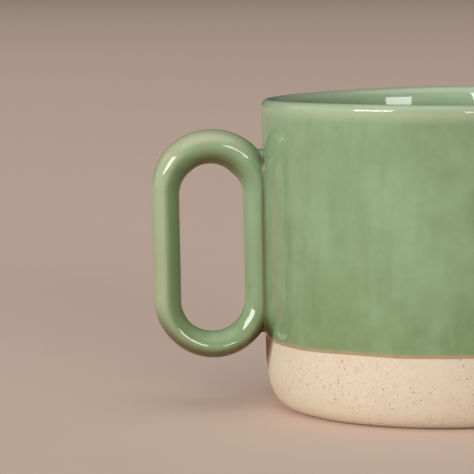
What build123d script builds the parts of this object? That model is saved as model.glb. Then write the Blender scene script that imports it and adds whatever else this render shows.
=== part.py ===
from build123d import *
from math import atan2, cos, sin, sqrt
import os

# A wide, low stoneware mug with a closed ring handle. Millimetres, +Z up.
# The origin is the centre of the face that the mug stands on, and the handle points along -X.

# cup
height = 80.0               # over the glazed rim
rim_radius = 45.0           # over the glaze, at the rim
base_radius = 44.1          # bare clay, where the bottom curve ends
wall = 3.2                  # fired clay, without its glaze
floor = 4.6                 # clay above the foot's hollow
bottom_curve_width = 8.5    # how far the soft bottom edge cuts in under the cup
bottom_curve_height = 10.5  # how far it climbs the wall
inside_curve = 8.0          # radius between the inner wall and the floor
foot_hollow_radius = 27.0   # a shallow hollow keeps the mug from rocking
foot_hollow_depth = 1.0
foot_hollow_softness = 0.8  # radius of the hollow's edges

# glaze
glaze = 0.3                 # thickness of every coat
glaze_line = 18.4           # height of the outer coat's lower edge

# handle: a closed ring of clay pressed against the wall, measured over its glaze
ring_top = 71.5             # highest point
ring_bottom = 12.7          # lowest point
ring_reach = 28.7           # how far it stands out from the wall
ring_press = 1.9            # how far its wall side is pressed flat
ring_width = 7.8            # from side to side
leg_thickness = 6.7         # of both upright legs
top_thickness = 8.1         # of the arch at the top
bottom_thickness = 6.7      # of the arch at the bottom
flat_share = 0.04           # what the rounding leaves flat on the thinnest stretch

# joining slip: the soft clay that holds the ring to the wall
web_width = 4.6             # of the small web above and below the joint
web_rise = 2.8              # how far the upper web climbs in the notch between ring and wall
web_drop = 1.3              # how far the lower web hangs down in its notch

# worked out
clay_height = height - glaze
taper = atan2(rim_radius - glaze - base_radius, clay_height - bottom_curve_height)
floor_top = foot_hollow_depth + floor


def wall_radius(z, skin=0.0):
    """Radius at height z of the surface that lies skin outside the bare outer wall."""
    climb = (rim_radius - glaze - base_radius) / (clay_height - bottom_curve_height)
    return base_radius + (z - bottom_curve_height) * climb + skin / cos(taper)


def rounded(face, points, radius):
    """Rounds the corners of a section at the given (radius, height) points."""
    near = [v for v in face.vertices() if any((Vector(v) - Vector(r, 0, z)).length < 0.01 for r, z in points)]
    return fillet(near, radius)


def cup_section(skin):
    """Half the cup's cross section: the clay, or the clay with a skin on its walls, rim and floor."""
    rim_height = clay_height + skin
    inner_floor = floor_top + skin
    curve_end = (wall_radius(bottom_curve_height, skin), bottom_curve_height)
    outer_rim = (wall_radius(rim_height, skin), rim_height)
    inner_rim = (wall_radius(rim_height, -wall - skin), rim_height)
    inner_foot = (wall_radius(inner_floor, -wall - skin), inner_floor)
    hollow_corner = (foot_hollow_radius - foot_hollow_depth, foot_hollow_depth)
    hollow_edge = (foot_hollow_radius, 0)
    foot_edge = (wall_radius(bottom_curve_height, skin) - bottom_curve_width, 0)
    pull = 0.45
    pull_in = (foot_edge[0] + bottom_curve_width * (1 - pull), 0)
    pull_up = (wall_radius(bottom_curve_height * pull, skin), bottom_curve_height * pull)
    straight = [
        curve_end,
        outer_rim,
        inner_rim,
        inner_foot,
        (0, inner_floor),
        (0, foot_hollow_depth),
        hollow_corner,
        hollow_edge,
        foot_edge,
    ]
    outline = Polyline(*[(r, 0, z) for r, z in straight]).edges()
    outline += [Bezier(*[(r, 0, z) for r, z in (foot_edge, pull_in, pull_up, curve_end)])]
    face = make_face(outline)
    face = rounded(face, [outer_rim, inner_rim], wall * 0.49 + skin)
    face = rounded(face, [inner_foot], inside_curve - skin)
    return rounded(face, [hollow_corner, hollow_edge], foot_hollow_softness)


def half_face(*points):
    """A flat face of the half section, with straight edges through the given (radius, height) points."""
    return make_face(Polyline(*[(r, 0, z) for r, z in points], close=True))


def wall_cone(skin):
    """Everything inside the surface that lies skin outside the bare outer wall."""
    low, high = 0, height + wall
    return Pos(0, 0, high / 2) * Cone(wall_radius(low, skin), wall_radius(high, skin), high - low)


# The handle's own plane: x is the distance out from the glazed wall, y runs up along it.
handle_plane = Plane(
    origin=(-wall_radius(0, glaze), 0, 0),
    x_dir=(-cos(taper), 0, -sin(taper)),
    z_dir=(0, 1, 0),
)


def upright_slot(left, right, low, high):
    """A slot with round ends, in the handle's own plane."""
    middle = Pos((left + right) / 2, (low + high) / 2)
    return middle * SlotOverall(high - low, right - left, rotation=90)


def ring(skin):
    """The whole ring handle: its clay, or its clay with a skin."""
    inset = glaze - skin
    outside = upright_slot(
        -ring_press + inset,
        ring_reach - inset,
        ring_bottom + inset,
        ring_top - inset,
    )
    opening = upright_slot(
        leg_thickness - ring_press - inset,
        ring_reach - leg_thickness + inset,
        ring_bottom + bottom_thickness - inset,
        ring_top - top_thickness + inset,
    )
    half_width = ring_width / 2 - inset
    solid = extrude(handle_plane * (outside - opening), amount=half_width, both=True)
    sides = solid.faces().filter_by(Axis.Y)
    thinnest = min(leg_thickness, top_thickness, bottom_thickness, ring_width) / 2 - glaze
    return fillet(sides.edges(), thinnest * (1 - flat_share) + skin)


def webs(skin):
    """The blocks of slip that fill the notches above and below the joint."""
    end_radius = (ring_reach + ring_press) / 2
    centre = (ring_reach - ring_press) / 2
    crossing = sqrt(ring_reach * ring_press)
    pieces = []
    for middle, way, climb in ((ring_top - end_radius, 1, web_rise), (ring_bottom + end_radius, -1, web_drop)):
        edge = centre - sqrt(end_radius**2 - (crossing + climb) ** 2)
        low = middle + way * (crossing - climb)
        high = middle + way * (crossing + climb - glaze + skin)
        block = Pos((edge - wall) / 2, (low + high) / 2) * Rectangle(edge + wall, abs(high - low))
        pieces.append(extrude(handle_plane * block, amount=web_width / 2 - glaze + skin, both=True))
    return pieces


def joint(skin):
    """Ring and webs together, as one shape."""
    upper, lower = webs(skin)
    return ring(skin) + upper + lower


bare_section = cup_section(0.0)
coat_section = cup_section(glaze) - bare_section
crest = wall_radius(clay_height, -wall / 2)
outside = half_face(
    (wall_radius(glaze_line, -wall / 2), glaze_line),
    (rim_radius + wall, glaze_line),
    (rim_radius + wall, height + wall),
    (crest, height + wall),
    (crest, clay_height - wall),
)
inside = half_face(
    (0, floor_top),
    (wall_radius(floor_top, -wall), floor_top),
    (crest, clay_height - wall),
    (crest, height + wall),
    (0, height + wall),
)
outer_coat = coat_section & outside
liner_coat = coat_section & inside

cup_body = revolve(bare_section, Axis.Z)
bare_joint = joint(0.0)
handle_ring = ring(0.0) - wall_cone(glaze)
joining_slip = bare_joint - wall_cone(0.0) - handle_ring
outer_glaze = revolve(outer_coat, Axis.Z) - bare_joint
liner_glaze = revolve(liner_coat, Axis.Z)
handle_glaze = joint(glaze) - bare_joint - wall_cone(glaze)

nodes = {
    "cup_body": cup_body,
    "handle_ring": handle_ring,
    "joining_slip": joining_slip,
    "outer_glaze": outer_glaze,
    "liner_glaze": liner_glaze,
    "handle_glaze": handle_glaze,
}

os.makedirs("parts", exist_ok=True)
for name, solid in nodes.items():
    export_step(solid, f"parts/{name}.step")
    print(name, "solids", len(solid.solids()), "volume", round(solid.volume))
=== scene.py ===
import bpy
import math
from mathutils import Matrix, Vector


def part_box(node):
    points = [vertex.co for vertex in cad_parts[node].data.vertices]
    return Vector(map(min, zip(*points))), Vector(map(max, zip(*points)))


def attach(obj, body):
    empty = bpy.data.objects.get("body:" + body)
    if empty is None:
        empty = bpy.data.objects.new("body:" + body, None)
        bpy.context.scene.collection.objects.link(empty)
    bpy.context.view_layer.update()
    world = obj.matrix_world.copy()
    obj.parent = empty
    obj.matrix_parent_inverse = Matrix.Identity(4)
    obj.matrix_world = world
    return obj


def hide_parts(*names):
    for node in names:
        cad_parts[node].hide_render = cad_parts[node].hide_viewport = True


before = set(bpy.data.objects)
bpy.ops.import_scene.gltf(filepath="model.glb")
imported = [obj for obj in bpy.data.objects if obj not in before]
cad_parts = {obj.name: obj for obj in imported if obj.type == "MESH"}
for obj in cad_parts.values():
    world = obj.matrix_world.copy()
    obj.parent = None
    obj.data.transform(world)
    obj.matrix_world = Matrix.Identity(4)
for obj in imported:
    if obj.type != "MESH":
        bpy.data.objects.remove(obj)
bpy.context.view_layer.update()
mm = 0.001
print("frame loaded:", ", ".join(sorted(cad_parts)))

# the cup's own measures, in metres; the clay and both coats are turned from them
cup = {
    "top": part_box("outer_glaze")[1].z,          # over the glaze
    "rimRadius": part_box("outer_glaze")[1].x,
    "glazeLine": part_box("outer_glaze")[0].z,
    "floorTop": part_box("liner_glaze")[0].z,     # clay under the liner
    "baseRadius": 44.1 * mm,                    # bare clay, where the bottom curve ends
    "curveWidth": 7.8 * mm,
    "curveHeight": 15.0 * mm,
    "wall": 3.2 * mm,
    "glaze": 0.3 * mm,
    "insideCurve": 8.0 * mm,
    "hollowRadius": 27.0 * mm,
    "hollowDepth": 1.0 * mm,
    "hollowSoftness": 0.8 * mm,                 # radius of the hollow's edges
    "segments": 384,
    "claySteps": 8,                             # to a rounding of the clay
    "coatSteps": 14,                            # to a rounding of the glaze
    "floorSteps": 6,
}
clayTop = cup["top"] - cup["glaze"]
rimCentre = clayTop - cup["wall"] / 2           # height of the rim's rounding
climb = (cup["rimRadius"] - cup["glaze"] - cup["baseRadius"]) / (clayTop - cup["curveHeight"])


def wallRadius(z, skin=0.0):
    return cup["baseRadius"] + (z - cup["curveHeight"]) * climb + skin


def arc(centre, radius, start, end, steps):
    # points round part of a circle, from one angle to another in degrees
    turns = [math.radians(start + (end - start) * i / steps) for i in range(steps + 1)]
    return [(centre[0] + radius * math.cos(t), centre[1] + radius * math.sin(t)) for t in turns]


def straight(start, end, steps):
    # the inner points of a straight stretch
    return [tuple(a + (b - a) * i / steps for a, b in zip(start, end)) for i in range(1, steps)]


def bottomCurve(steps):
    # the soft bottom edge, from the foot's flat ring up to the wall
    pull = {"under": 0.29, "side": 0.38}     # less is fuller
    foot = wallRadius(cup["curveHeight"]) - cup["curveWidth"]
    guides = [
        (foot, 0),
        (foot + cup["curveWidth"] * (1 - pull["under"]), 0),
        (wallRadius(cup["curveHeight"] * pull["side"]), cup["curveHeight"] * pull["side"]),
        (wallRadius(cup["curveHeight"]), cup["curveHeight"]),
    ]
    points = []
    for i in range(steps + 1):
        t = i / steps
        share = [(1 - t) ** 3, 3 * t * (1 - t) ** 2, 3 * t**2 * (1 - t), t**3]
        points.append(tuple(sum(s * g[k] for s, g in zip(share, guides)) for k in (0, 1)))
    return points


def rimMiddle():
    return (wallRadius(clayTop, -cup["wall"] / 2), rimCentre)


def insideOutline(skin, steps, swell=0.0):
    # from the crest of the rim down the inner wall and over the floor to the middle
    thickening = {"from": 2.2 * mm, "fade": 20 * mm, "softness": 1.5}
    reach = cup["insideCurve"] - skin
    floor = cup["floorTop"] + skin
    corner = (wallRadius(floor, -cup["wall"] - skin) - reach, floor + reach)
    rim = arc(rimMiddle(), cup["wall"] / 2 + skin, 90, 180, steps)
    bend = arc(corner, reach, 0, -90, steps)
    wallRun = straight(rim[-1], bend[0], 3 * steps)
    floorRun = straight(bend[-1], (0, floor), cup["floorSteps"])
    points = []
    for r, z in rim + wallRun + bend:
        # the wall thickens softly below the rim, and the thickening is gone at the floor
        down = max(clayTop + skin - z, 0)
        grown = 1 - math.exp(-((down / thickening["from"]) ** thickening["softness"]))
        fade = min(max((z - floor - reach) / thickening["fade"], 0), 1)
        points.append((r - swell * grown * fade, z))
    return points + floorRun + [(0, floor)]


def choose(*pieces):
    # these pieces selected, the first of them active, and nothing else
    bpy.ops.object.select_all(action="DESELECT")
    for piece in pieces:
        piece.select_set(True)
    bpy.context.view_layer.objects.active = pieces[0] if pieces else None


def modify(piece, name, kind, **settings):
    # a modifier with its settings, applied at once
    choose(piece)
    modifier = piece.modifiers.new(name, kind)
    for key, value in settings.items():
        setattr(modifier, key, value)
    bpy.ops.object.modifier_apply(modifier=modifier.name)


def drawOutline(name, outline):
    # a plane merged to one point, then pulled along the outline
    choose()
    bpy.ops.mesh.primitive_plane_add(size=mm, location=(0, 0, 0))
    piece = bpy.context.object
    piece.name = piece.data.name = name
    bpy.ops.object.mode_set(mode="EDIT")
    bpy.ops.mesh.merge(type="CENTER")
    bpy.ops.transform.translate(value=(outline[0][0], 0, outline[0][1]))
    for here, there in zip(outline, outline[1:]):
        step = (there[0] - here[0], 0, there[1] - here[1])
        bpy.ops.mesh.extrude_vertices_move(TRANSFORM_OT_translate={"value": step})
    return piece


def turnOutline(piece):
    # spun all the way round the axis, then closed where it meets itself
    bpy.ops.mesh.select_all(action="SELECT")
    bpy.ops.mesh.spin(steps=cup["segments"], angle=2 * math.pi, center=(0, 0, 0), axis=(0, 0, 1))
    bpy.ops.mesh.select_all(action="SELECT")
    bpy.ops.mesh.remove_doubles(threshold=0.004 * mm)
    bpy.ops.mesh.normals_make_consistent(inside=False)
    bpy.ops.object.mode_set(mode="OBJECT")
    bpy.ops.object.shade_smooth()
    return piece


def makeCupClay():
    # from the middle of the foot's hollow out over the foot, up the wall and in to the floor
    steps = {"hollow": 6, "bottomCurve": 18, "wall": 40}
    edge = cup["hollowRadius"]
    depth = cup["hollowDepth"]
    soft = cup["hollowSoftness"]
    outline = [(0, depth), (edge / 3, depth), (edge * 0.7, depth)]
    outline += arc((edge - depth - soft, depth - soft), soft, 90, 45, steps["hollow"])
    outline += arc((edge + soft / 2, soft), soft, 225, 270, steps["hollow"])
    outline += bottomCurve(steps["bottomCurve"])
    outline += straight(outline[-1], (wallRadius(rimCentre), rimCentre), steps["wall"])
    outline += arc(rimMiddle(), cup["wall"] / 2, 0, 90, cup["claySteps"])[:-1]
    outline += insideOutline(0.0, cup["claySteps"])
    return turnOutline(drawOutline("cupClay", outline))


def makeOuterCoat():
    # the coat swells from nothing at its lower edge, which dips a little into the clay
    coat = {"swell": 0.9 * mm, "dip": 0.04 * mm, "frontSteps": 16, "backSteps": 10}
    # heights over the edge in millimetres, close together where the coat swells
    heights = [0, 0.06, 0.14, 0.25, 0.4, 0.6, 0.9, 1.3, 1.8, 2.5, 3.4, 4.6, 6.2, 8.2, 10.5, 13, 16]
    front = []
    for up in heights:
        share = min(up * mm / coat["swell"], 1)
        skin = cup["glaze"] * math.sqrt(1 - (1 - share) ** 2) - coat["dip"] * (1 - share)
        front.append((wallRadius(cup["glazeLine"] + up * mm, skin), cup["glazeLine"] + up * mm))
    rim = arc(rimMiddle(), cup["wall"] / 2 + cup["glaze"], 0, 90, cup["coatSteps"])
    front += straight(front[-1], rim[0], coat["frontSteps"]) + rim
    back = arc(rimMiddle(), cup["wall"] / 2, 90, 0, cup["claySteps"])
    foot = (wallRadius(cup["glazeLine"], -cup["glaze"]), cup["glazeLine"])
    back += straight(back[-1], foot, coat["backSteps"]) + [foot, front[0]]
    piece = turnOutline(drawOutline("outerGlaze", front + back))
    above = piece.data.attributes.new("aboveEdge", "FLOAT", "POINT")
    for point, value in zip(piece.data.vertices, above.data):
        value.value = point.co.z - cup["glazeLine"]
    return piece


def makeLinerCoat():
    front = insideOutline(cup["glaze"], cup["coatSteps"], swell=0.8 * mm)
    back = insideOutline(0.0, cup["claySteps"])
    return turnOutline(drawOutline("linerGlaze", list(reversed(front)) + back))


def waveEdge(piece):
    # the coat's lower edge runs in long soft waves with a little raggedness
    waves = {
        "long": {"size": 22 * mm, "strength": 0.9 * mm, "reach": 3 * mm},
        "ragged": {"size": 5 * mm, "strength": 0.2 * mm, "reach": 1.6 * mm},
    }
    for name, wave in waves.items():
        group = piece.vertex_groups.new(name=name)
        for point in piece.data.vertices:
            near = 1 - (point.co.z - cup["glazeLine"]) / wave["reach"]
            if near > 0:
                group.add([point.index], near * near * (3 - 2 * near), "REPLACE")
        clouds = bpy.data.textures.new(name, "CLOUDS")
        clouds.noise_scale = wave["size"]
        clouds.noise_depth = 1
        push = {"texture": clouds, "direction": "Z", "vertex_group": name, "mid_level": 0.5}
        modify(piece, name, "DISPLACE", strength=wave["strength"], **push)


def waveRim(pieces):
    # a hand-thrown rim isn't level: one lattice lifts and lowers the top of all three
    wave = {
        "once": 0.31 * mm,         # a tilt, highest at its angle in degrees
        "onceAt": 25,
        "twice": 0.38 * mm,        # two high and two low places
        "twiceAt": 56.7,
        "fadeFrom": 25 * mm,       # height below which nothing moves
        "spread": 3,               # the lattice's width, in rim radii
        "columns": 7,
    }
    choose()
    middle = (cup["top"] + wave["fadeFrom"]) / 2
    bpy.ops.object.add(type="LATTICE", location=(0, 0, middle))
    lattice = bpy.context.object
    side = wave["spread"] * cup["rimRadius"]
    lattice.scale = (side, side, cup["top"] - wave["fadeFrom"])
    lattice.data.points_u = lattice.data.points_v = wave["columns"]
    lattice.data.points_w = 2
    lattice.data.interpolation_type_u = lattice.data.interpolation_type_v = "KEY_BSPLINE"
    lattice.data.interpolation_type_w = "KEY_LINEAR"
    once = math.radians(wave["onceAt"])
    twice = math.radians(2 * wave["twiceAt"])
    for point in lattice.data.points:
        if point.co.z < 0:
            continue
        x = point.co.x * side / cup["rimRadius"]
        y = point.co.y * side / cup["rimRadius"]
        lift = wave["once"] * (x * math.cos(once) + y * math.sin(once))
        lift += wave["twice"] * ((x * x - y * y) * math.cos(twice) + 2 * x * y * math.sin(twice))
        point.co_deform.z += lift / lattice.scale.z
    for piece in pieces:
        modify(piece, "rimWave", "LATTICE", object=lattice)
    bpy.data.objects.remove(lattice)


cupClay = makeCupClay()
outerGlaze = makeOuterCoat()
linerGlaze = makeLinerCoat()
waveEdge(outerGlaze)
waveRim([cupClay, outerGlaze, linerGlaze])
print("cup turned:", [len(piece.data.polygons) for piece in (cupClay, outerGlaze, linerGlaze)])

# the handle: a closed ring of clay, pressed against the wall, under its own coat
handle = {
    "out": 13.25 * mm,             # from the glazed wall to the middle of the ring
    "bendRadius": 11.72 * mm,      # of the line through the middle of the clay
    "topBend": 55.9 * mm,          # height of the upper half circle's centre
    "bottomBend": 28.25 * mm,
    "sway": {"topBend": 4.0, "bottomBend": 6.0},    # degrees that the outer leg swings forward
    "halfThick": 3.52 * mm,
    "halfWide": 3.9 * mm,
    "ridge": 0.9 * mm,             # how far the widest line lies towards the outside
    "sidePull": 0.62,              # 0.55 all round is a circle; a long side pull and a
    "ridgePull": 0.42,             # short ridge pull leave a soft ridge along the widest line
    "curveSteps": 16,              # between two points of the ring
    "sectionSteps": 14,            # between two points of its section
    "clearance": 0.1 * mm,         # between the clay and its coat
    "voxel": 0.3 * mm,
}


def handleCurve(name, skin):
    # five points round each bend: the angle, 0 at the outer leg, and the thickness there
    bends = {
        "topBend": [(0, 1.0), (45, 1.2), (90, 1.25), (135, 1.3), (180, 1.0)],
        "bottomBend": [(180, 1.0), (225, 1.0), (270, 1.0), (315, 0.93), (360, 1.0)],
    }
    points = [(bend, place, *stop) for bend, stops in bends.items() for place, stop in enumerate(stops)]
    choose()
    bpy.ops.curve.primitive_bezier_circle_add(radius=handle["bendRadius"], location=(0, 0, 0))
    curve = bpy.context.object
    curve.name = curve.data.name = name
    curve.data.dimensions = "3D"
    spline = curve.data.splines[0]
    spline.bezier_points.add(len(points) - len(spline.bezier_points))
    bendPull = handle["bendRadius"] * 4 / 3 * math.tan(math.radians(45) / 4)
    legPull = (handle["topBend"] - handle["bottomBend"]) / 3
    for knot, (bend, place, degrees, thick) in zip(spline.bezier_points, points):
        turn = math.radians(degrees)
        z = handle[bend] + handle["bendRadius"] * math.sin(turn)
        out = handle["out"] + handle["bendRadius"] * math.cos(turn)
        lean = wallRadius(z, cup["glaze"])
        along = Vector((math.sin(turn), 0, math.cos(turn)))
        # a bend begins and ends on a leg
        before = legPull if place == 0 else bendPull
        after = legPull if place == len(bends[bend]) - 1 else bendPull
        knot.handle_left_type = knot.handle_right_type = "FREE"
        sway = math.tan(math.radians(handle["sway"][bend]))
        forward = (out - handle["out"] + handle["bendRadius"]) * sway
        knot.co = (-lean - out, -forward, z)
        knot.handle_left = knot.co - along * before
        knot.handle_right = knot.co + along * after
        knot.radius = (handle["halfThick"] * thick - skin) / handle["halfThick"]
    curve.data.resolution_u = handle["curveSteps"]
    return curve


def handleSection():
    # shallow towards the outside, deep towards the opening; -y is the outside
    choose()
    bpy.ops.curve.primitive_bezier_circle_add(radius=handle["halfThick"], location=(0, 0, 0))
    section = bpy.context.object
    thick = handle["halfThick"]
    wide = handle["halfWide"]
    ridge = handle["ridge"]
    side = wide * handle["sidePull"]
    outward = -ridge - (thick - ridge) * handle["ridgePull"]
    inward = -ridge + (thick + ridge) * handle["ridgePull"]
    corners = [
        ((0, -thick), (side, -thick), (-side, -thick)),
        ((-wide, -ridge), (-wide, outward), (-wide, inward)),
        ((0, thick), (-side, thick), (side, thick)),
        ((wide, -ridge), (wide, inward), (wide, outward)),
    ]
    for knot, (place, before, after) in zip(section.data.splines[0].bezier_points, corners):
        knot.handle_left_type = knot.handle_right_type = "FREE"
        knot.co = (*place, 0)
        knot.handle_left = (*before, 0)
        knot.handle_right = (*after, 0)
    section.data.resolution_u = handle["sectionSteps"]
    return section


def makeRing(name, skin):
    section = handleSection()
    ring = handleCurve(name, skin)
    ring.data.bevel_mode = "OBJECT"
    ring.data.bevel_object = section
    choose(ring)
    bpy.ops.object.convert(target="MESH")
    ring = bpy.context.object
    ring.data.name = name
    bpy.data.objects.remove(section)
    bpy.ops.object.mode_set(mode="EDIT")
    bpy.ops.mesh.select_all(action="SELECT")
    bpy.ops.mesh.remove_doubles(threshold=0.002 * mm)
    bpy.ops.mesh.normals_make_consistent(inside=False)
    bpy.ops.object.mode_set(mode="OBJECT")
    bpy.ops.object.shade_smooth()
    return ring


joint = {
    "patch": (19.6 * mm, 68 * mm),    # this and the webs from one height to another
    "upperWeb": (62 * mm, 66.6 * mm),
    "lowerWeb": (19.7 * mm, 24 * mm),
    "middle": 43 * mm,                # the height halfway between the two notches
    "plain": 17 * mm,                 # up and down from the middle, where nothing melts
    "fade": 4 * mm,
    "melted": (2 * mm, 4.5 * mm),     # out from the wall, where the melting fades
}


def makeWallPatch():
    # a thin slab of the wall behind the joint, just under the outer coat's surface
    patch = {"deep": 2.0 * mm, "sunk": 0.12 * mm, "spread": 15, "steps": 24}
    low, high = joint["patch"]
    front = cup["glaze"] - patch["sunk"]
    back = front - patch["deep"]
    outline = [(wallRadius(low, front), low), (wallRadius(high, front), high)]
    outline += [(wallRadius(high, back), high), (wallRadius(low, back), low), outline[0]]
    piece = drawOutline("wallPatch", outline)
    bpy.ops.mesh.select_all(action="SELECT")
    bpy.ops.mesh.remove_doubles(threshold=0.004 * mm)
    bpy.ops.mesh.select_all(action="SELECT")
    bpy.ops.mesh.edge_face_add()
    half = math.radians(patch["spread"]) / 2
    bpy.ops.transform.rotate(value=math.pi - half, orient_axis="Z", center_override=(0, 0, 0))
    bpy.ops.mesh.spin(steps=patch["steps"], angle=2 * half, center=(0, 0, 0), axis=(0, 0, 1))
    bpy.ops.mesh.select_all(action="SELECT")
    bpy.ops.mesh.normals_make_consistent(inside=False)
    bpy.ops.object.mode_set(mode="OBJECT")
    return piece


def makeWeb(low, high):
    # a small block in the notch between ring and wall, which melts into a web
    web = {"inside": -1.5 * mm, "outside": 0.7 * mm, "wide": 4.4 * mm}
    choose()
    middle = (low + high) / 2
    place = (-wallRadius(middle, cup["glaze"]) - (web["inside"] + web["outside"]) / 2, 0, middle)
    size = (web["outside"] - web["inside"], web["wide"], high - low)
    bpy.ops.mesh.primitive_cube_add(size=1, location=place, scale=size)
    bpy.ops.object.transform_apply(location=True, rotation=True, scale=True)
    return bpy.context.object


def makeHandleGlaze():
    ring = makeRing("handleGlaze", 0.0)
    upper = makeWeb(*joint["upperWeb"])
    lower = makeWeb(*joint["lowerWeb"])
    choose(ring, upper, lower, makeWallPatch())
    bpy.ops.object.join()
    modify(ring, "melt", "REMESH", mode="VOXEL", voxel_size=handle["voxel"], use_smooth_shade=True)
    notches = ring.vertex_groups.new(name="notches")
    start, end = joint["melted"]
    for point in ring.data.vertices:
        out = math.hypot(point.co.x, point.co.y) - wallRadius(point.co.z, cup["glaze"])
        past = max(abs(point.co.z - joint["middle"]) - joint["plain"], 0) / joint["fade"]
        near = min(past, 1) * min(max((end - out) / (end - start), 0), 1)
        if near > 0:
            notches.add([point.index], near, "REPLACE")
    # the notches flow together first, then all of it a little
    modify(ring, "meltNotches", "SMOOTH", factor=0.5, iterations=30, vertex_group="notches")
    modify(ring, "flow", "SMOOTH", factor=0.5, iterations=6)
    return ring


handleGlaze = makeHandleGlaze()
handleClay = makeRing("handleClay", cup["glaze"] + handle["clearance"])
print("handle shaped:", [len(piece.data.polygons) for piece in (handleGlaze, handleClay)])


def newGroup(name, inputs, outputs):
    # an empty shader group with its named sockets
    group = bpy.data.node_groups.new(name, "ShaderNodeTree")
    for label, kind, value in inputs:
        socket = group.interface.new_socket(label, in_out="INPUT", socket_type=kind)
        socket.default_value = value
    for label, kind in outputs:
        group.interface.new_socket(label, in_out="OUTPUT", socket_type=kind)
    return group, group.nodes.new("NodeGroupInput"), group.nodes.new("NodeGroupOutput")


def addNode(tree, kind, settings=None, links=None):
    # a node with its settings, and its inputs given a value or joined to another node's output
    node = tree.nodes.new(kind)
    for key, value in (settings or {}).items():
        setattr(node, key, value)
    for key, value in (links or {}).items():
        socket = node.inputs[key]
        if isinstance(value, bpy.types.NodeSocket):
            tree.links.new(value, socket)
        else:
            socket.default_value = value
    return node


def addNoise(tree, where, scale, detail, rough):
    values = {"Vector": where, "Scale": scale, "Detail": detail, "Roughness": rough}
    return addNode(tree, "ShaderNodeTexNoise", links=values).outputs["Fac"]


def addRange(tree, value, low, high, toLow=0.0, toHigh=1.0):
    values = {"Value": value, "From Min": low, "From Max": high, "To Min": toLow, "To Max": toHigh}
    return addNode(tree, "ShaderNodeMapRange", {"interpolation_type": "SMOOTHSTEP"}, values).outputs[0]


def addMath(tree, kind, first, second):
    return addNode(tree, "ShaderNodeMath", {"operation": kind}, {0: first, 1: second}).outputs[0]


def addProduct(tree, first, *others):
    for other in others:
        first = addMath(tree, "MULTIPLY", first, other)
    return first


def addMix(tree, amount, first, second):
    mix = addNode(tree, "ShaderNodeMix", {"data_type": "RGBA"}, {0: amount, 6: first, 7: second})
    return mix.outputs[2]


def addLayer(tree, where, layer):
    # a noise of some scale, detail and roughness, which counts for nothing below its span and
    # for its full share above
    noise = addNoise(tree, where, *layer["noise"])
    return noise, addRange(tree, noise, *layer["span"], 0, layer["share"])


def addDistance(tree, first, second):
    # from the origin of the two values
    flat = addNode(tree, "ShaderNodeCombineXYZ", links={0: first, 1: second}).outputs[0]
    return addNode(tree, "ShaderNodeVectorMath", {"operation": "LENGTH"}, {0: flat}).outputs["Value"]


def addOut(tree, split):
    # how far out from the glazed wall a place is
    radius = addDistance(tree, split.outputs["X"], split.outputs["Y"])
    lean = addMath(tree, "MULTIPLY", split.outputs["Z"], climb)
    return addMath(tree, "SUBTRACT", radius, addMath(tree, "ADD", lean, wallRadius(0, cup["glaze"])))


def colour(red, green, blue):
    # from screen values, 0 to 255, to the linear values that Blender mixes
    values = [c / 255 for c in (red, green, blue)]
    return (*[c / 12.92 if c <= 0.04045 else ((c + 0.055) / 1.055) ** 2.4 for c in values], 1.0)


surfaceOutputs = [
    ("Colour", "NodeSocketColor"),
    ("Roughness", "NodeSocketFloat"),
    ("Height", "NodeSocketFloat"),
]


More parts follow.
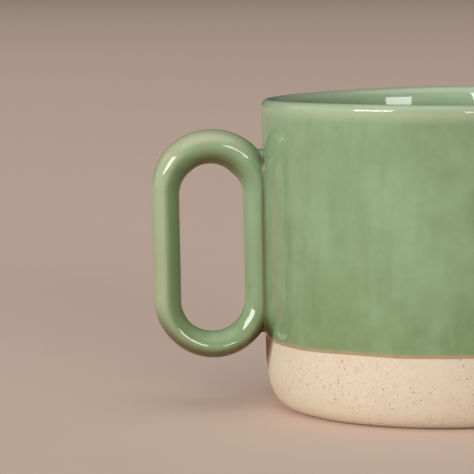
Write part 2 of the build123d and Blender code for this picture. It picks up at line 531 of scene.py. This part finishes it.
def makeMeltGroup():
    # the look of a melted glaze: mottled, streaked, thicker low down, paler over the rim
    layers = {
        "clouds": {"noise": (55, 3, 0.55), "span": (0.3, 0.7), "share": 0.55},
        "patches": {"noise": (210, 3, 0.6), "span": (0.3, 0.75), "share": 0.3},
        "streaks": {"noise": (330, 3, 0.6), "span": (0.35, 0.75), "share": 0.25},
        "specks": {"noise": (900, 1, 0.5), "span": (0.66, 0.8), "share": 0.4},
        "grain": {"noise": (900, 2, 0.6), "span": (0.6, 0.75), "share": 0.18},
    }
    stretch = 6.25                              # of the streaks, along the height
    mottling = 0.75
    low = {"reach": 36 * mm, "share": 0.42}     # over the lower edge
    rim = {"from": 5.2 * mm, "to": 1.6 * mm, "share": 0.75, "ragged": 0.5 * mm, "span": (0.2, 0.8)}
    # where the groove's dark lies: pooled coat with painted shade
    groove = {
        "out": (0.1 * mm, 1.1 * mm),            # from the wall
        "beside": (3.6 * mm, 4.9 * mm),         # from the ring's middle plane
        "bottom": (18.6 * mm, 20.5 * mm),
        "top": (64 * mm, 67.5 * mm),
        "share": 0.85,
    }
    peel = {"noise": (420, 1, 0.4), "height": 0.1}
    gloss = {"span": (0.3, 0.8), "rough": (0.03, 0.06)}
    # the groove tint stands for pooled coat together with painted shade
    tints = {"specks": colour(96, 108, 66), "grain": colour(190, 200, 160), "groove": colour(86, 74, 42)}
    inputs = [
        ("Place", "NodeSocketVector", (0, 0, 0)),
        ("Glaze", "NodeSocketColor", (0.3, 0.4, 0.2, 1)),
        ("Deep", "NodeSocketColor", (0.2, 0.3, 0.1, 1)),
        ("Thin", "NodeSocketColor", (0.5, 0.5, 0.3, 1)),
        ("Flecks", "NodeSocketFloat", 0.5),
    ]
    tree, given, result = newGroup("meltedGlaze", inputs, surfaceOutputs)
    place = given.outputs["Place"]
    split = addNode(tree, "ShaderNodeSeparateXYZ", links={0: place})
    height = split.outputs["Z"]
    stretched = {"Vector": place, "Scale": (1, 1, 1 / stretch)}
    run = addNode(tree, "ShaderNodeMapping", links=stretched).outputs[0]
    clouds, cloudy = addLayer(tree, place, layers["clouds"])
    patches, patchy = addLayer(tree, place, layers["patches"])
    streaky = addLayer(tree, run, layers["streaks"])[1]
    pool = addMath(tree, "ADD", addMath(tree, "ADD", cloudy, patchy), streaky)
    # it runs thicker towards the lower edge
    sagged = addRange(tree, height, cup["glazeLine"], cup["glazeLine"] + low["reach"], low["share"], 0)
    pool = addMath(tree, "ADD", addProduct(tree, pool, mottling), sagged)
    pool = addMath(tree, "MINIMUM", pool, 1)
    base = addMix(tree, pool, given.outputs["Glaze"], given.outputs["Deep"])
    # the rim, where the coat ran thin
    ragged = addRange(tree, patches, *rim["span"], -rim["ragged"], rim["ragged"])
    edge = addMath(tree, "ADD", height, ragged)
    paler = addRange(tree, edge, cup["top"] - rim["from"], cup["top"] - rim["to"], 0, rim["share"])
    base = addMix(tree, paler, base, given.outputs["Thin"])
    for name in ("specks", "grain"):
        flecks = addProduct(tree, addLayer(tree, place, layers[name])[1], given.outputs["Flecks"])
        base = addMix(tree, flecks, base, tints[name])
    # the coat pools, dark and brown, in the groove where the handle meets the wall, and the groove's
    # shade is painted into the same dark
    pooledAndShaded = addProduct(
        tree,
        addRange(tree, addOut(tree, split), *groove["out"], 1, 0),
        addRange(tree, addMath(tree, "ABSOLUTE", split.outputs["Y"], 0), *groove["beside"], 1, 0),
        addMath(tree, "LESS_THAN", split.outputs["X"], 0),
        addRange(tree, height, *groove["bottom"]),
        addRange(tree, height, *groove["top"], 1, 0),
        groove["share"],
    )
    base = addMix(tree, pooledAndShaded, base, tints["groove"])
    tree.links.new(base, result.inputs["Colour"])
    tree.links.new(addRange(tree, patches, *gloss["span"], *gloss["rough"]), result.inputs["Roughness"])
    orange = addProduct(tree, addNoise(tree, place, *peel["noise"]), peel["height"])
    tree.links.new(addMath(tree, "ADD", clouds, orange), result.inputs["Height"])
    return tree


def makeRingCoatAndLightGroup():
    # over the handle the coat is pale on the crest and the outer leg's front, where it is thin and light
    # is painted; painted shade darkens the outer leg's back; the downward-facing undersides are brown,
    # with thicker coat and painted shade
    spans = {
        "underside": (-2.5 * mm, 0.2 * mm),     # measured upward from the middle of the clay
        "crest": (0.2 * mm, 2.9 * mm),
        "crestAcross": (-11 * mm, -5 * mm),     # measured away from the wall, from the ring's middle
        "outerLeg": (3 * mm, 9 * mm),
        "legFront": (0.1 * mm, 1.2 * mm),       # measured outward from the middle of the clay
        "legBack": (-0.8 * mm, 0.9 * mm),
    }
    legShare = 0.6
    outputs = [("Thin", "NodeSocketFloat"), ("PooledAndShaded", "NodeSocketFloat"), ("Deep", "NodeSocketFloat")]
    tree, given, result = newGroup("ringCoatAndPaintedLight", [("Place", "NodeSocketVector", (0, 0, 0))], outputs)
    split = addNode(tree, "ShaderNodeSeparateXYZ", links={0: given.outputs["Place"]})
    across = addMath(tree, "SUBTRACT", addOut(tree, split), handle["out"])
    halfLeg = (handle["topBend"] - handle["bottomBend"]) / 2
    up = addMath(tree, "SUBTRACT", split.outputs["Z"], handle["bottomBend"] + halfLeg)
    # how far past the legs, above or below
    past = addMath(tree, "MAXIMUM", addMath(tree, "SUBTRACT", up, halfLeg), 0)
    past = addMath(tree, "ADD", past, addMath(tree, "MINIMUM", addMath(tree, "ADD", up, halfLeg), 0))
    outside = addMath(tree, "SUBTRACT", addDistance(tree, across, past), handle["bendRadius"])
    upward = addProduct(tree, outside, addMath(tree, "DIVIDE", past, handle["bendRadius"]))
    pooledAndShaded = addRange(tree, upward, *spans["underside"], 1, 0)
    thinAndLitCrest = addProduct(
        tree,
        addRange(tree, upward, *spans["crest"]),
        addRange(tree, up, 0, halfLeg),
        addRange(tree, across, *spans["crestAcross"]),
    )
    outerLeg = addRange(tree, across, *spans["outerLeg"])
    thinAndLitLegFront = addProduct(tree, addRange(tree, outside, *spans["legFront"], 0, legShare), outerLeg)
    # painted shade on the outer leg's back, which faces away from the light
    deep = addProduct(tree, addRange(tree, outside, *spans["legBack"], 1, 0), outerLeg)
    # pale where the coat is thin and light is painted, but not on the shaded undersides
    thin = addProduct(tree, addMath(tree, "MAXIMUM", thinAndLitCrest, thinAndLitLegFront), addMath(tree, "SUBTRACT", 1, pooledAndShaded))
    tree.links.new(thin, result.inputs["Thin"])
    tree.links.new(pooledAndShaded, result.inputs["PooledAndShaded"])
    tree.links.new(deep, result.inputs["Deep"])
    return tree


def makePaintedShadeGroup():
    # painted shade: a dark brown tongue on the wall below the groove's lower end, widest and darkest at
    # the top, fading towards its tip
    run = {"tip": 9 * mm, "top": 23 * mm, "fade": 3 * mm, "round": 13 * mm, "soft": 0.8 * mm}
    faint = {"share": 0.45, "reach": 6 * run["soft"]}    # at the tip, where the painted shade is fainter
    outputs = [("PaintedShade", "NodeSocketFloat")]
    tree, given, result = newGroup("paintedShadeBelowJoint", [("Place", "NodeSocketVector", (0, 0, 0))], outputs)
    split = addNode(tree, "ShaderNodeSeparateXYZ", links={0: given.outputs["Place"]})
    height = split.outputs["Z"]
    sideways = addProduct(tree, split.outputs["Y"], split.outputs["Y"])
    above = addMath(tree, "SUBTRACT", height, addMath(tree, "DIVIDE", sideways, run["round"]))
    shadeTongue = addProduct(
        tree,
        addRange(tree, above, run["tip"], run["tip"] + run["soft"]),
        addRange(tree, above, run["tip"], run["tip"] + faint["reach"], faint["share"], 1),
        addRange(tree, height, run["top"] - run["fade"], run["top"] + run["fade"], 1, 0),
        addMath(tree, "LESS_THAN", split.outputs["X"], 0),
    )
    tree.links.new(shadeTongue, result.inputs["PaintedShade"])
    return tree


def makeClayGroup():
    # speckled stoneware: fine grain, clustered dark specks, a faint blush
    layers = {
        "clouds": {"noise": (60, 3, 0.6), "span": (0.4, 0.75), "share": 0.55},
        "mottle": {"noise": (420, 3, 0.65), "span": (0.3, 0.75), "share": 0.28},
        "grain": {"noise": (2600, 2, 0.6), "span": (0.3, 0.8), "share": 0.22},
    }
    crowding = {"noise": (130, 2, 0.6), "span": (0.36, 0.6), "least": 0.35}
    # each cell of a pattern holds one speck, and this share of them is left out
    specks = [
        {"scale": 1250, "size": 0.4, "leftOut": 0.66, "strength": 0.8},
        {"scale": 600, "size": 0.24, "leftOut": 0.82, "strength": 0.9},
        {"scale": 2300, "size": 0.42, "leftOut": 0.5, "strength": 0.5},
    ]
    core = 0.25                   # of a speck's radius, which is dark all through
    faintest = 0.25
    relief = {"grain": 0.12, "speck": 0.15, "mottle": 0.4}
    matt = {"span": (0.2, 0.8), "rough": (0.72, 0.88)}
    tints = {"mottle": colour(236, 222, 196), "grain": colour(176, 150, 118)}
    inputs = [
        ("Place", "NodeSocketVector", (0, 0, 0)),
        ("Body", "NodeSocketColor", (0.7, 0.6, 0.4, 1)),
        ("Blush", "NodeSocketColor", (0.7, 0.5, 0.4, 1)),
        ("Speck", "NodeSocketColor", (0.2, 0.2, 0.2, 1)),
    ]
    tree, given, result = newGroup("speckledClay", inputs, surfaceOutputs)
    place = given.outputs["Place"]
    cloudy = addLayer(tree, place, layers["clouds"])[1]
    mottle, mottled = addLayer(tree, place, layers["mottle"])
    grain, grainy = addLayer(tree, place, layers["grain"])
    base = addMix(tree, cloudy, given.outputs["Body"], given.outputs["Blush"])
    base = addMix(tree, mottled, base, tints["mottle"])
    base = addMix(tree, grainy, base, tints["grain"])
    height = addProduct(tree, grain, relief["grain"])
    crowd = addNoise(tree, place, *crowding["noise"])
    crowd = addRange(tree, crowd, *crowding["span"], crowding["least"], 1)
    for speck in specks:
        cells = addNode(tree, "ShaderNodeTexVoronoi", links={"Vector": place, "Scale": speck["scale"]})
        choice = addNode(tree, "ShaderNodeSeparateColor", links={0: cells.outputs["Color"]})
        near = addRange(tree, cells.outputs["Distance"], speck["size"] * core, speck["size"], 1, 0)
        shown = addMath(tree, "GREATER_THAN", choice.outputs[0], speck["leftOut"])
        faint = addRange(tree, choice.outputs[1], 0, 1, faintest, 1)
        mask = addProduct(tree, near, shown, speck["strength"], faint, crowd)
        base = addMix(tree, mask, base, given.outputs["Speck"])
        height = addMath(tree, "SUBTRACT", height, addProduct(tree, mask, relief["speck"]))
    height = addMath(tree, "ADD", height, addProduct(tree, mottle, relief["mottle"]))
    tree.links.new(base, result.inputs["Colour"])
    tree.links.new(addRange(tree, mottle, *matt["span"], *matt["rough"]), result.inputs["Roughness"])
    tree.links.new(height, result.inputs["Height"])
    return tree


def startMaterial(name):
    material = bpy.data.materials.new(name)
    material.use_nodes = True
    shader = material.node_tree.nodes["Principled BSDF"]
    place = material.node_tree.nodes.new("ShaderNodeTexCoord").outputs["Object"]
    return material, material.node_tree, shader, place


def addBump(tree, height, strength, distance, shader):
    values = {"Height": height, "Strength": strength, "Distance": distance}
    bump = addNode(tree, "ShaderNodeBump", links=values)
    tree.links.new(bump.outputs["Normal"], shader.inputs["Normal"])


glazeColours = {
    "Glaze": colour(144, 172, 136),
    "Deep": colour(120, 143, 99),
    "Thin": colour(172, 188, 156),
    "Flecks": 0.6,
}
# tints of the painted shade below the handle's lower joint, over the glaze and over the bare clay
paintedShadeTints = {
    "onGlaze": {"tint": colour(66, 56, 26), "strength": 0.9},
    "onClay": {"tint": colour(100, 56, 22), "strength": 0.96},
}
meltedGlaze = makeMeltGroup()
ringCoatAndPaintedLight = makeRingCoatAndLightGroup()
paintedShadeBelowJoint = makePaintedShadeGroup()
speckledClay = makeClayGroup()


def addGroup(tree, group, place, **values):
    return addNode(tree, "ShaderNodeGroup", {"node_tree": group}, {"Place": place, **values}).outputs


# mixes the painted shade below the handle's lower joint into a colour
def addPaintedShade(tree, place, base, tint, strength):
    run = addGroup(tree, paintedShadeBelowJoint, place)["PaintedShade"]
    return addMix(tree, addProduct(tree, run, strength), base, tint)


def makeGlazeMaterial(name, colours, withEdge=False, onRing=False):
    material, tree, shader, place = startMaterial(name)
    melt = addGroup(tree, meltedGlaze, place, **colours)
    base = melt["Colour"]
    rough = melt["Roughness"]
    if withEdge:
        # the coat breaks to tan over its last millimetre, and the painted shade below the joint crosses
        # it
        edge = {
            "noise": (260, 3, 0.6),
            "span": (0.25, 0.75),
            "ragged": (-0.15 * mm, 0.3 * mm),
            "width": (0.1 * mm, 1.3 * mm),
            "tint": colour(178, 154, 122),
            "rougher": 0.35,
        }
        above = addNode(tree, "ShaderNodeAttribute", {"attribute_name": "aboveEdge"}).outputs["Fac"]
        ragged = addRange(tree, addNoise(tree, place, *edge["noise"]), *edge["span"], *edge["ragged"])
        thin = addRange(tree, addMath(tree, "SUBTRACT", above, ragged), *edge["width"], 1, 0)
        base = addMix(tree, thin, base, edge["tint"])
        rough = addMath(tree, "ADD", rough, addProduct(tree, thin, edge["rougher"]))
        # painted shade below the handle's lower joint, over the coat
        base = addPaintedShade(tree, place, base, **paintedShadeTints["onGlaze"])
    if onRing:
        coat = addGroup(tree, ringCoatAndPaintedLight, place)
        # the pale tint is thin coat with painted light, the deep tint is painted shade on the outer
        # leg's back, the brown tint is pooled coat with painted shade on the undersides
        tones = {
            "Thin": {"share": 0.65, "tint": colour(184, 184, 150)},
            "Deep": {"share": 0.55, "tint": colour(96, 116, 66)},
            "PooledAndShaded": {"share": 0.85, "tint": colour(86, 72, 26)},
        }
        for output, tone in tones.items():
            base = addMix(tree, addProduct(tree, coat[output], tone["share"]), base, tone["tint"])
    tree.links.new(base, shader.inputs["Base Color"])
    tree.links.new(rough, shader.inputs["Roughness"])
    shader.inputs["IOR"].default_value = 1.55
    addBump(tree, melt["Height"], 1.0, 0.05 * mm, shader)
    return material


def makeBareClay():
    clay = {"Body": colour(218, 205, 183), "Blush": colour(220, 193, 170), "Speck": colour(106, 88, 68)}
    material, tree, shader, place = startMaterial("bareClay")
    grog = addGroup(tree, speckledClay, place, **clay)
    # turning marks, only under the foot
    marks = {"Scale": 260, "Distortion": 1.5, "Detail": 2}
    under = {"heights": (0.2 * mm, 1.4 * mm), "relief": 0.5}
    kind = {"wave_type": "RINGS", "rings_direction": "Z"}
    rings = addNode(tree, "ShaderNodeTexWave", kind, {"Vector": place, **marks}).outputs["Fac"]
    height = addNode(tree, "ShaderNodeSeparateXYZ", links={0: place}).outputs["Z"]
    turned = addProduct(tree, rings, addRange(tree, height, *under["heights"], under["relief"], 0))
    # painted shade below the handle's lower joint, on the bare clay
    base = addPaintedShade(tree, place, grog["Colour"], **paintedShadeTints["onClay"])
    tree.links.new(base, shader.inputs["Base Color"])
    tree.links.new(grog["Roughness"], shader.inputs["Roughness"])
    addBump(tree, addMath(tree, "ADD", grog["Height"], turned), 1.0, 0.1 * mm, shader)
    return material


ringColours = {**glazeColours, "Deep": colour(134, 154, 112)}
wallGlaze = makeGlazeMaterial("sageGlazeWall", glazeColours, withEdge=True)
ringGlaze = makeGlazeMaterial("sageGlazeRing", ringColours, onRing=True)
plainGlaze = makeGlazeMaterial("sageGlaze", glazeColours)
bareClay = makeBareClay()


def dress(piece, material):
    piece.data.materials.clear()
    piece.data.materials.append(material)


dress(cupClay, bareClay)
dress(handleClay, bareClay)
dress(outerGlaze, wallGlaze)
dress(linerGlaze, plainGlaze)
dress(handleGlaze, ringGlaze)
dress(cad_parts["joining_slip"], bareClay)

for piece, node, finish in (
    (cupClay, "cup_body", "bare_clay"),
    (outerGlaze, "outer_glaze", "sage_glaze"),
    (linerGlaze, "liner_glaze", "sage_glaze"),
    (handleClay, "handle_ring", "handle_clay"),
    (handleGlaze, "handle_glaze", "sage_glaze"),
):
    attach(piece, "root")
    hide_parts(node)
print("materials on")

# floor, light and camera
studio = {
    "floor": colour(222, 196, 180),
    "floorFibre": colour(206, 178, 160),
    "floorSize": 60.0,
    "floorBack": 24.0,  # how far its middle lies behind the cup
    "world": (0.92, 0.90, 0.88, 1.0),
    "worldStrength": 0.07,
    "turn": -7.0,       # degrees that camera and lights stand round towards the handle
    "far": 14.0,        # from the cup to each light
    "aim": 0.05,        # height that the lights face
}

# lights at an angle across and an angle up from the cup, with their width and height as angles
windows = {
    "leftWindow": {"across": -42, "up": 20, "width": 26, "height": 22, "radiance": 11.6},
    "rightWindow": {"across": 28.2, "up": 10, "width": 19.5, "height": 16, "radiance": 8.8},
    "sideGlow": {"across": -82, "up": 12, "width": 66, "height": 50, "radiance": 0.7},
    "ceilingGlow": {"across": 0, "up": 78, "width": 60, "height": 60, "radiance": 1.0},
}
lampTints = {
    "leftWindow": (1.0, 0.99, 0.97),
    "rightWindow": (0.98, 0.99, 1.0),
    "sideGlow": (1.0, 0.97, 0.93),
    "ceilingGlow": (1.0, 0.99, 0.98),
}


def makeFloor():
    fibre = {"noise": (40, 3, 0.5), "span": (0.3, 0.7), "share": 0.06}
    choose()
    bpy.ops.mesh.primitive_plane_add(size=studio["floorSize"], location=(0, studio["floorBack"], 0))
    floor = bpy.context.object
    floor.name = "floor"
    material, tree, shader, place = startMaterial("floorPaper")
    base = addMix(tree, addLayer(tree, place, fibre)[1], studio["floor"], studio["floorFibre"])
    tree.links.new(base, shader.inputs["Base Color"])
    shader.inputs["Roughness"].default_value = 0.9
    dress(floor, material)


def addWindow(name, across, up, width, height, radiance):
    # a soft box that faces the cup
    turn = math.radians(across + studio["turn"])
    lift = math.radians(up)
    far = studio["far"]
    aim = Vector((0, 0, studio["aim"]))
    way = Vector((math.sin(turn) * math.cos(lift), -math.cos(turn) * math.cos(lift), math.sin(lift)))
    bpy.ops.object.light_add(type="AREA", location=aim + way * far)
    lamp = bpy.context.object
    lamp.name = name
    lamp.data.shape = "RECTANGLE"
    lamp.data.size = 2 * far * math.tan(math.radians(width) / 2)
    lamp.data.size_y = 2 * far * math.tan(math.radians(height) / 2)
    lamp.data.energy = radiance * math.pi * lamp.data.size * lamp.data.size_y
    lamp.data.color = lampTints[name]
    lamp.rotation_euler = (-way).to_track_quat("-Z", "Y").to_euler()


def addCamera():
    # where the camera stands, in metres, and how it is turned, in degrees
    stand = {"back": 0.6677, "high": 0.1145, "left": 4.417, "down": 6.055, "roll": -0.45}
    camera = bpy.data.cameras.new("camera")
    camera.lens = 196.57
    camera.sensor_width = 36
    shooter = bpy.data.objects.new("camera", camera)
    bpy.context.scene.collection.objects.link(shooter)
    aim = Matrix.Rotation(math.radians(stand["left"]), 4, "Z")
    aim = aim @ Matrix.Rotation(math.radians(90 - stand["down"]), 4, "X")
    aim = aim @ Matrix.Rotation(math.radians(stand["roll"]), 4, "Z")
    aim = Matrix.Translation((0, -stand["back"], stand["high"])) @ aim
    shooter.matrix_world = Matrix.Rotation(math.radians(studio["turn"]), 4, "Z") @ aim
    bpy.context.scene.camera = shooter


makeFloor()
for name, window in windows.items():
    addWindow(name, **window)
addCamera()
world = bpy.data.worlds.new("studioAir")
world.use_nodes = True
air = world.node_tree.nodes["Background"].inputs
air["Color"].default_value = studio["world"]
air["Strength"].default_value = studio["worldStrength"]
bpy.context.scene.world = world
bpy.context.scene.view_settings.view_transform = "Standard"
print("studio set")
